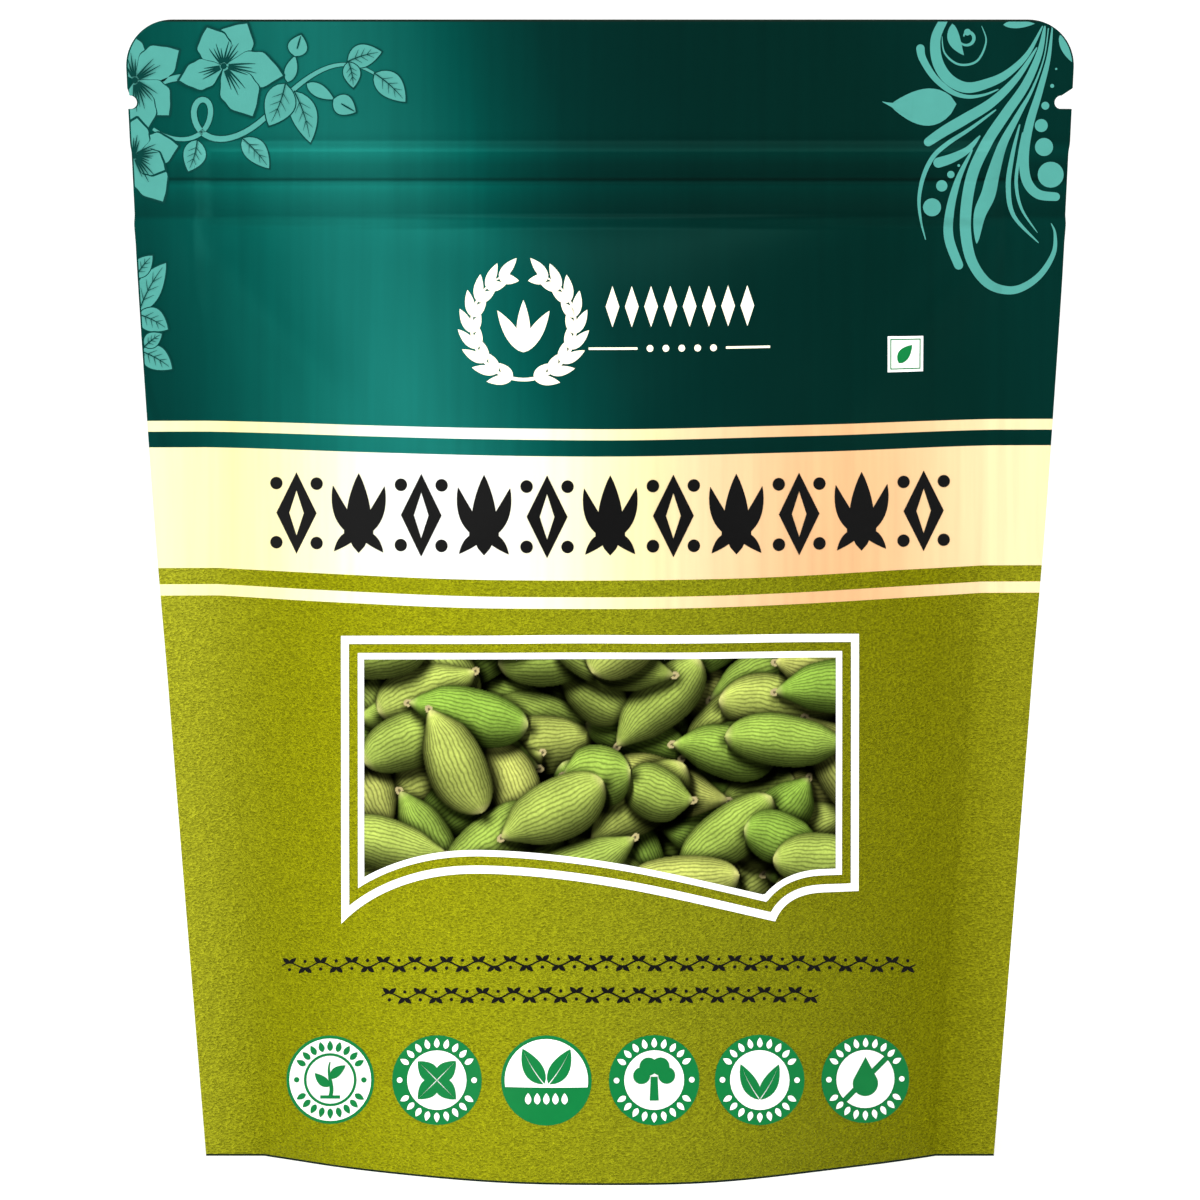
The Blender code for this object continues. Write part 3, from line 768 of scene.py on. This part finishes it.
def corner_scrolls():
    """Sweeping scrolls with beads in the upper right corner: points and widths here are in millimetres."""
    sweeps = (
        (((78.2, 201.4), (75.5, 196.4), (72, 193), (68.6, 191.3), (64.8, 190.5), (61.6, 192),
          (59.6, 195.2), (59.3, 199.2), (60.8, 202.6)), (0.2, 1.9, 1.4)),
        (((70.4, 190.2), (67.8, 189.2), (64.8, 188.9), (61.9, 189.9), (59, 192.4), (57, 195.6),
          (56.6, 197.4)), (0.2, 0.9, 1.5)),
        (((77.2, 197.6), (73.8, 192.4), (69.4, 188), (64.6, 185), (61, 182.9), (58, 180.9)),
         (0.2, 1.8, 1.5)),
        (((70, 186.6), (65.4, 183.2), (61.4, 180.6), (58.9, 178.4), (57.2, 175), (56.4, 171),
          (56.7, 167.2), (57.6, 163.6)), (0.2, 0.8, 0.15), 0.8),
        (((67.2, 182), (65, 179.6), (62.2, 178.1), (59.8, 177.3)), (0.2, 1.4, 1.8)),
        (((78.6, 201.4), (77.6, 196.5), (75.2, 191), (71.8, 186), (68.5, 181), (66, 175.8),
          (64.8, 170), (64.7, 164.5), (65.9, 159.5), (69, 155.6), (73.3, 154.6), (77.5, 156.9),
          (80.2, 161), (80.5, 164.6), (79.8, 166.5)), (0.2, 2, 0.1), 0.75),
        (((65.8, 179.6), (63.4, 174.6), (61.9, 169), (61.7, 164), (63.4, 159.2)), (0.2, 1.5, 1.6)),
        (((79.2, 201), (78.4, 195.6), (76.4, 190.2), (74.1, 186), (71.2, 180.5), (69.6, 175.6),
          (68.6, 171.6), (67.1, 168), (66.6, 163)), (0.2, 2.6, 0.1), 2.5),
        (((74.2, 184), (72.9, 178.5), (72.2, 173), (73.2, 167.8), (77.6, 163)), (0.2, 0.9, 0.15)),
        (((74.7, 182.6), (74.1, 178.5), (73.6, 173.5), (74.6, 169), (77.4, 164.8)), (0.15, 0.6, 0.1)),
        (((79.9, 201.2), (79.2, 195.5), (77.6, 189.6), (75.9, 184), (75, 178.6), (75.4, 174.2),
          (77.4, 171.7), (80.6, 171.2)), (0.2, 1.6, 1.5)),
        (((55.2, 187), (52.2, 187.3), (49.9, 188)), (3.4, 1.1, 0.1)),
        (((67.4, 201.4), (68.2, 198.6), (66.6, 195.2), (63.4, 194.6), (60.9, 196.6), (60.4, 199.6)),
         (0.1, 0.4, 0.1)),
    )
    made = [stroke(through(line), *(w / 1000 for w in widths), *lean) for line, widths, *lean in sweeps]
    made.append(curl(0.0649, 0.1994, 0.0016, 200, 330, 0.6, 0.0006))
    leaves = (
        ((63, 187.6), (51.2, 187.4), 6.6, 0.16), ((62.2, 201.8), (64.3, 196.2), 2.2, -0.45),
        ((71.2, 201.6), (76.8, 201.8), 1.4, 0), ((81.2, 199.8), (84.2, 194.4), 2, 0),
    )
    for base, tip, width, bend in leaves:
        made.append(leaf(*((x / 1000, z / 1000) for x, z in (base, tip)), width / 1000, bend=bend))
    beads = (
        (78.7, 187.3, 0.7), (78, 183.8, 1.15), (78.5, 180, 1.6), (79.7, 175.1, 2.3), (79.9, 190.8, 0.35),
        (80.6, 193.8, 0.2), (63.4, 176.8, 0.25), (62, 175.2, 0.65), (60.4, 173.2, 1), (58.7, 169.4, 1.6),
        (64.9, 200.3, 0.6),
    )
    return made + [[disc(x / 1000, z / 1000, r / 1000, 24)] for x, z, r in beads]


def emblem():
    """A plain wreath with a row of lozenges beside it, in the place of a mark."""
    made = []
    cx, cz, radius = WREATH
    for hand in (-1, 1):
        made.append(stroke(arc(cx, cz, radius, -90, -90 + hand * 165, 30), 0.0006, 0.0005, 0.0002))
        for k in range(9):
            turn = -90 + hand * (12 + 17.5 * k)
            for reach in (1.26, 0.84):
                tip = polar(cx, cz, radius * reach, turn + hand * 22)
                made.append(leaf(polar(cx, cz, radius, turn), tip, 0.0017))
    for k in (-1, 0, 1):
        made.append(leaf((cx, cz - 0.0045), (cx + k * 0.0046, cz + 0.0044 - abs(k) * 0.0018), 0.0024))
    for k in range(8):
        x = 0.0022 + k * 0.0034
        made.append([[(x - 0.0012, 0.1525), (x, 0.1560), (x + 0.0012, 0.1525), (x, 0.1490)]])
    made += [[bar(x, EMBLEM_LINE, half, 0.0002)] for x, half in ((0.0023, 0.0043), (0.0261, 0.0039))]
    return made + [[disc(0.0088 + 0.0028 * k, EMBLEM_LINE, 0.0006, 12)] for k in range(5)]


def bar(x, z, half_length, half_height):
    return [(x + i * half_length, z + j * half_height) for i, j in ((-1, -1), (1, -1), (1, 1), (-1, 1))]


def title_border():
    """A bold black frieze of palmettes and lozenges, in the place of a title."""
    made = []
    low, high = TITLE_HEIGHTS
    middle = (low + high) / 2
    for k in range(11):
        x = 0.0018 + (k - 5) * 0.0111
        if k % 2:
            made.append(leaf((x, low + 0.0004), (x, high), 0.0044))
            made += leaf_pair(x, low, (0.0, 0.0030), (0.0046, high - low - 0.0022), 0.0026, bend=-0.34)
            made += leaf_pair(x, low, (0.0, 0.0040), (0.0044, 0.0006), 0.0020, bend=0.30)
            made.append([bar(x, low + 0.0038, 0.0026, 0.0006)])
        else:
            outer = [(x - 0.0036, middle), (x, high), (x + 0.0036, middle), (x, low)]
            inner = [(x - 0.0013, middle), (x, high - 0.0032), (x + 0.0013, middle), (x, low + 0.0032)]
            made.append(strip(outer, inner))
            for hand in (-1, 1):
                for up in (-1, 1):
                    made.append([disc(x + hand * 0.0036, middle + up * 0.0052, 0.0011, 20)])
    return made


def small_rows():
    """Two fine rows of a waving stem with leaves and beads, in the place of small print."""
    made = []
    for h, start, end in ((0.0379, -0.0565, 0.0560), (0.0323, -0.0385, 0.0385)):
        waves = round((end - start) / 0.0056)
        pitch = (end - start) / waves
        steps = range(12 * waves + 1)
        stem = [(start + pitch * k / 12, h + 0.0005 * math.sin(math.pi * k / 6)) for k in steps]
        made.append(stroke(stem, 0.00022, 0.00028, 0.00022))
        for k in range(2 * waves):
            x, up = start + pitch * (k + 0.5) / 2, 1 - 2 * (k % 2)
            made += leaf_pair(x, h, (0.0, up * 0.0004), (0.0012, up * 0.0014), 0.0008)
            made.append([disc(x, h - up * 0.0007, 0.0003, 10)])
    return made


def badge_ring(x, z, reach, tall):
    """Small leaves that point outwards round a badge, with a bead on each side between the two arcs."""
    ends = reach - tall / 2, reach + tall / 2
    turns = [15 * k for k in range(24) if k % 12 not in (0, 1, 11)]
    made = [leaf(*(polar(x, z, end, turn) for end in ends), tall * 0.55) for turn in turns]
    return made + [[disc(x + hand * reach, z, 0.0005, 14)] for hand in (-1, 1)]


def badges():
    """The six round badges in three layers: green discs, white fields, and green signs without words."""
    discs, fields, signs = [], [], []
    z, r = BADGE_HEIGHT, BADGE_RADIUS
    for number, x in enumerate(BADGE_PLACES):
        discs.append([disc(x, z, r)])
        if number == 0:
            fields.append([disc(x, z, 0.93 * r)])
            signs.append(strip(disc(x, z, 0.60 * r), disc(x, z, 0.54 * r)))
            signs += badge_ring(x, z, 0.765 * r, 0.24 * r)
            stem = bezier((x, z - 0.0030), (x + 0.0008, z - 0.001), (x - 0.0008, z + 0.001), (x, z + 0.0032))
            signs.append(stroke(stem, 0.0007, 0.0006, 0.0002))
            for dx, root in ((-0.0028, -0.0012), (0.0028, 0.0002)):
                signs.append(leaf((x, z + root), (x + dx, z + root + 0.0024), 0.0017, bend=LEAF_BEND))
            signs.append([bar(x, z - 0.0031, 0.0018, 0.0003)])
        elif number == 2:
            fields.append([arc(x, z, 0.92 * r, -9, 189, 30)])
            signs += leaf_pair(x, z, (0.0004, -0.0006), (0.0042, 0.0056), 0.0034, 0.0002, -0.15)
            for k in range(5):
                seed = x - 0.0032 + 0.0016 * k
                fields.append(leaf((seed, z - 0.0042), (seed, z - 0.0022), 0.0011))
        else:
            fields.append([disc(x, z, 0.66 * r)])
            fields += badge_ring(x, z, 0.83 * r, 0.22 * r)
        if number == 1:
            signs += [leaf((x, z), polar(x, z, 0.60 * r, 45 + 90 * k), 0.0032, 0.0002) for k in range(4)]
        elif number == 3:
            crown = ((-0.0022, 0.0008, 0.0015), (0.0022, 0.0008, 0.0015),
                     (-0.0010, 0.0024, 0.0016), (0.0011, 0.0024, 0.0016))
            signs += [[disc(x + dx, z + dz, size, 20)] for dx, dz, size in crown]
            trunk = ((-0.0006, 0.0006), (0.0006, 0.0006), (0.0008, -0.0036), (-0.0008, -0.0036))
            signs.append([[(x + dx, z + dz) for dx, dz in trunk]])
        elif number == 4:
            signs += leaf_pair(x, z, (0.0, -0.0034), (0.0034, 0.0028), 0.0028, 0.0002, -0.15)
        elif number == 5:
            signs.append([[(x, z + 0.0040)] + arc(x, z - 0.0008, 0.0023, 20, -200, 24)])
            slash = ((-0.0041, -0.0034), (-0.0034, -0.0041), (0.0041, 0.0034), (0.0034, 0.0041))
            signs.append([[(x + dx, z + dz) for dx, dz in slash]])
    return discs, fields, signs


class Look:
    """A material in the making: its shader, and helpers that add nodes to it."""

    def __init__(self, name, roughness, metallic=0.0, specular=0.5, tint=(1.0, 1.0, 1.0, 1.0)):
        self.material = bpy.data.materials.new(name)
        self.material.use_nodes = True
        self.shader = self.material.node_tree.nodes["Principled BSDF"]
        self.shade({"Roughness": roughness, "Metallic": metallic})
        self.shade({"Specular IOR Level": specular, "Specular Tint": tint})
        self.place = self.add("TexCoord", "Object", {})

    def feed(self, node, inputs):
        """Fill a node's inputs, each with a value or with another node's output."""
        for socket, value in inputs.items():
            if isinstance(value, bpy.types.NodeSocket):
                self.material.node_tree.links.new(value, node.inputs[socket])
            else:
                node.inputs[socket].default_value = value

    def shade(self, inputs):
        self.feed(self.shader, inputs)

    def add(self, kind, output, inputs, **settings):
        """The named output of a new node."""
        made = self.material.node_tree.nodes.new("ShaderNode" + kind)
        for name, value in settings.items():
            setattr(made, name, value)
        self.feed(made, inputs)
        return made.outputs[output]

    def maths(self, operation, *values):
        return self.add("Math", "Value", dict(enumerate(values)), operation=operation)

    def axis(self, letter):
        return self.add("SeparateXYZ", letter, {"Vector": self.place})

    def noise(self, scale, stretch=(1.0, 1.0, 1.0), detail=3.0):
        """A noise texture whose features are about 1/scale metres, stretched by stretch."""
        sized = self.add("Mapping", "Vector", {"Vector": self.place, "Scale": stretch})
        return self.add("TexNoise", "Fac", {"Vector": sized, "Scale": scale, "Detail": detail})

    def scaled(self, colour, factor):
        return self.add("VectorMath", "Vector", {0: colour, "Scale": factor}, operation="SCALE")

    def varied(self, colour, noise, low, high):
        """colour made darker or brighter by noise, between low and high times."""
        ends = {"From Min": 0.3, "From Max": 0.7, "To Min": low, "To Max": high}
        return self.scaled(colour, self.add("MapRange", "Result", {"Value": noise, **ends}))

    def ramp(self, value, start, end, stops, interpolation="LINEAR"):
        """A colour that changes as value runs from start to end: stops are (value, linear colour)."""
        share = self.add("MapRange", "Result", {"Value": value, "From Min": start, "From Max": end})
        made = self.add("ValToRGB", "Color", {"Fac": share})
        made.node.color_ramp.interpolation = interpolation
        points = made.node.color_ramp.elements
        while len(points) < len(stops):
            points.new(0.5)
        for point, (at, colour) in zip(points, stops):
            point.position = (at - start) / (end - start)
            point.color = (*colour, 1.0)
        return made

    def finish(self, colour, relief=None, strength=0.0, distance=0.0):
        """The material, with its colour and a bump by relief."""
        self.shade({"Base Color": colour})
        if relief is not None:
            bump = {"Height": relief, "Strength": strength, "Distance": distance}
            self.shade({"Normal": self.add("Bump", "Normal", bump)})
        return self.material


def film_material(name, stops, roughness, metallic, grain):
    """Satin laminate over print: its colour across the pouch holds a painted highlight and painted shade, the
    green's also painted shade and highlight along the zip, with fine upright streaks or a leather grain
    painted darker in its pits.
    """
    look = Look(name, roughness, metallic, 0.04, FILM_SHEEN)
    height = look.axis("Z")
    slant = GREEN_SLANT if grain == "zip" else 0.0
    leaned = look.maths("MULTIPLY_ADD", look.maths("SUBTRACT", height, SLANT_HEIGHT), slant, look.axis("X"))
    # Print colour with a painted highlight and painted shade across the pouch, leaning with height for the
    # green
    colour = look.ramp(leaned, -FLAT_WIDTH / 2, FLAT_WIDTH / 2, stops, "CARDINAL")
    if grain == "leather":
        wrinkles = look.noise(1700.0, (1.0, 1.0, 1.9), 1.5)
        # The grain's own noise darkens its pits and lightens its crests in the colour: painted shade and
        # highlight over the real bump
        return look.finish(look.varied(colour, wrinkles, 0.70, 1.20), wrinkles, 1.0, 0.0014)
    colour = look.varied(colour, look.noise(60.0, (9.0, 0.2, 0.35)), 0.94, 1.06)
    if grain == "zip":
        # Painted shade and highlight in bands along the zip, multiplied into the green
        shades = [(at, (factor / 2,) * 3) for at, factor in ZIP_PAINTED_SHADES]
        shade = look.ramp(height, shades[0][0], shades[-1][0], shades)
        colour = look.scaled(colour, look.maths("MULTIPLY", shade, 2.0))
    return look.finish(colour, look.noise(900.0), 0.06, 0.0001)


def ink(name, colour, roughness=0.42, metallic=0.0):
    """A printed ink with a faint mottle."""
    look = Look(name, roughness, metallic, 0.05)
    mottle = look.noise(300.0)
    return look.finish(look.varied(colour, mottle, 0.97, 1.03), mottle, 0.05, 0.0001)


def picture_material():
    """The printed picture: its colours come from its mesh, and dark lines are drawn along the pods' ribs."""
    look = Look("print_picture", 0.6, 0.0, 0.0)
    paint = look.add("VertexColor", "Color", {}, layer_name="Print")
    turns = look.add("VertexColor", "Color", {}, layer_name="Ribs")
    ribs = look.add("SeparateColor", "Red", {"Color": turns})
    wander = look.maths("MULTIPLY", look.noise(330.0), RIB_WANDER)
    wave = look.maths("SINE", look.maths("ADD", ribs, wander))
    line = look.maths("POWER", look.maths("MULTIPLY_ADD", wave, 0.5, 0.5), 2.0)
    depth = look.maths("MULTIPLY", look.maths("MULTIPLY", line, ribs.node.outputs["Green"]), RIB_DARKNESS)
    ribbed = look.scaled(paint, look.maths("SUBTRACT", 1.0, depth))
    return look.finish(look.varied(ribbed, look.noise(1600.0), 0.86, 1.14))


def plastic_material(name, colour, roughness):
    """Translucent polyethylene with faint drawing lines."""
    look = Look(name, roughness, 0.0, 0.4)
    look.shade({"Transmission Weight": 0.35})
    lines = look.noise(500.0, (0.05, 1.0, 1.0))
    return look.finish(look.varied(colour, lines, 0.95, 1.03), lines, 0.1, 0.0001)


def pod_material():
    """Dry cardamom skin: green to straw, with fine ribs."""
    look = Look("cardamom_skin", 0.75, 0.0, 0.2)
    stops = ((0.35, (0.16, 0.25, 0.05)), (0.70, (0.42, 0.44, 0.14)))
    colour = look.ramp(look.noise(90.0, detail=4.0), 0.0, 1.0, stops)
    return look.finish(colour, look.noise(700.0, (0.15, 1.0, 1.0)), 0.6, 0.0006)


def add_stage():
    """The pale floor with its curved backdrop, the soft lights, the world and the camera."""
    start, end = FLOOR_REACH
    bend = end - start
    curve = [polar(start, bend, bend, turn) for turn in range(-80, 1, 10)]
    sweep = [(-5.0, 0.0), (start, 0.0), *curve, (end, 6.0)]
    points = [(x, y, z) for y, z in sweep for x in (-5.0, 5.0)]
    faces = [(2 * k, 2 * k + 1, 2 * k + 3, 2 * k + 2) for k in range(len(sweep) - 1)]
    mesh = bpy.data.meshes.new("studio_floor")
    mesh.from_pydata(points, [], faces)
    mesh.shade_smooth()
    paper = Look("studio_paper", 0.9, 0.0, 0.1)
    paper.shade({"Emission Color": (1.0, 1.0, 0.99, 1.0), "Emission Strength": 0.22})
    mesh.materials.append(paper.finish((0.95, 0.95, 0.943, 1.0)))
    floor = add_object("studio_floor", mesh)

    scene = bpy.context.scene
    scene.view_settings.view_transform = "Standard"
    scene.world = bpy.data.worlds.new("studio")
    scene.world.use_nodes = True
    sky = scene.world.node_tree.nodes["Background"].inputs
    sky["Color"].default_value = (1.0, 0.995, 0.985, 1.0)
    sky["Strength"].default_value = WORLD_STRENGTH
    for name, place, size, power in LIGHTS:
        lamp = bpy.data.lights.new(name, "AREA")
        lamp.shape = "RECTANGLE"
        lamp.size, lamp.size_y = size
        lamp.energy = power
        aim = Vector((0.0, 0.0, LIGHT_AIM)) - Vector(place)
        add_object(name, lamp, place).rotation_euler = aim.to_track_quat("-Z", "Y").to_euler()

    camera = bpy.data.cameras.new("camera")
    camera.lens = CAMERA_LENS
    camera.sensor_width = 36.0
    camera.clip_start, camera.clip_end = 0.05, 30.0
    tilt = math.radians(CAMERA_ELEVATION)
    back = Vector((0.0, -math.cos(tilt), math.sin(tilt)))
    made = add_object("camera", camera, Vector((0.0, 0.0, CAMERA_AIM)) + back * CAMERA_DISTANCE)
    made.rotation_euler = (-back).to_track_quat("-Z", "Y").to_euler()
    scene.camera = made


def main():
    green = film_material("film_dark_green", GREEN_WITH_PAINTED_LIGHT, 0.42, 0.25, "zip")
    cream = film_material("film_cream", CREAM_WITH_PAINTED_LIGHT, 0.45, 0.0, "streaks")
    olive = film_material("film_olive", OLIVE_WITH_PAINTED_LIGHT, 0.52, 0.10, "leather")
    inside = film_material("film_inside", INSIDE_STOPS, 0.3, 0.8, "streaks")
    # A near-black line along the film's top and bottom edges and round its rim
    edge = ink("film_dark_edge_line", (0.004, 0.012, 0.008), 0.5)
    bands = (inside, green, cream, olive, edge)
    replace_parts(make_film("front_film_sheet", -1, bands), "front_panel")
    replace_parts(make_film("back_film_sheet", 1, bands), "back_panel")

    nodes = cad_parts
    nodes["bottom_gusset"].material_slots[0].material = olive
    for end in ("front", "back"):
        plastic = plastic_material("zip_plastic_" + end, (0.82, 0.85, 0.83), 0.45)
        nodes["zip_strip_" + end].material_slots[0].material = plastic
    nodes["pod_fill"].material_slots[0].material = pod_material()

    dark = ink("print_dark_green", (0.001, 0.040, 0.034), 0.42, 0.3)
    teal = ink("print_teal", (0.064, 0.275, 0.240), 0.42, 0.1)
    pale = ink("print_cream", (1.0, 0.94, 0.72))
    black = ink("print_black", (0.003, 0.003, 0.003), 0.45)
    white = ink("print_white", (0.95, 0.95, 0.94))
    leaf_green = ink("print_green", (0.003, 0.160, 0.038))

    lines = [strip(window_outline(start), window_outline(end)) for start, end in FRAME_LINES]
    printed("window_frame", lines, white, 2)
    picture, outline = picture_material(), window_outline(sum(FRAME_LINES[1]) / 2)
    make_picture("window_picture_left", -WINDOW_HALF_WIDTH, 0.0, outline, picture)
    make_picture("window_picture_right", 0.0, WINDOW_HALF_WIDTH, outline, picture)
    shapes, outlines, lines = corner_vine()
    printed("corner_vine_outlines", outlines, dark, paired=0)
    printed("corner_vine", shapes, teal, paired=1)
    printed("corner_vine_lines", lines, dark, 6)
    printed("corner_scrolls", corner_scrolls(), teal, 2)
    printed("wreath_emblem", emblem(), pale)
    printed("title_border", title_border(), black, level=(-0.0002, 0.25))
    printed("small_rows", small_rows(), black, level=LOW_PRINT_LEVEL)
    layers = (("badge_discs", leaf_green, 1), ("badge_fields", white, 3), ("badge_signs", leaf_green, 5))
    for (name, colour, layer), shapes in zip(layers, badges()):
        printed(name, shapes, colour, layer, level=LOW_PRINT_LEVEL)
    x, z = MARK_PLACE
    printed("mark_field", [[bar(x, z, 0.00315, 0.00315)]], white)
    printed("mark_sign", [strip(bar(x, z, 0.0027, 0.0027), bar(x, z, 0.0025, 0.0025)),
                          leaf((x - 0.0012, z - 0.0016), (x + 0.0012, z + 0.0016), 0.0021, bend=LEAF_BEND)],
            leaf_green, 2)
    x, z = 0.0, 0.0630
    printed("back_plain_panel", [[bar(x, z, 0.044, 0.031)]], pale, 1, side=1)
    thin_frame = strip(bar(x, z, 0.0426, 0.0296), bar(x, z, 0.0421, 0.0291))
    printed("back_panel_frame", [thin_frame], leaf_green, 2, side=1)

    add_stage()


main()
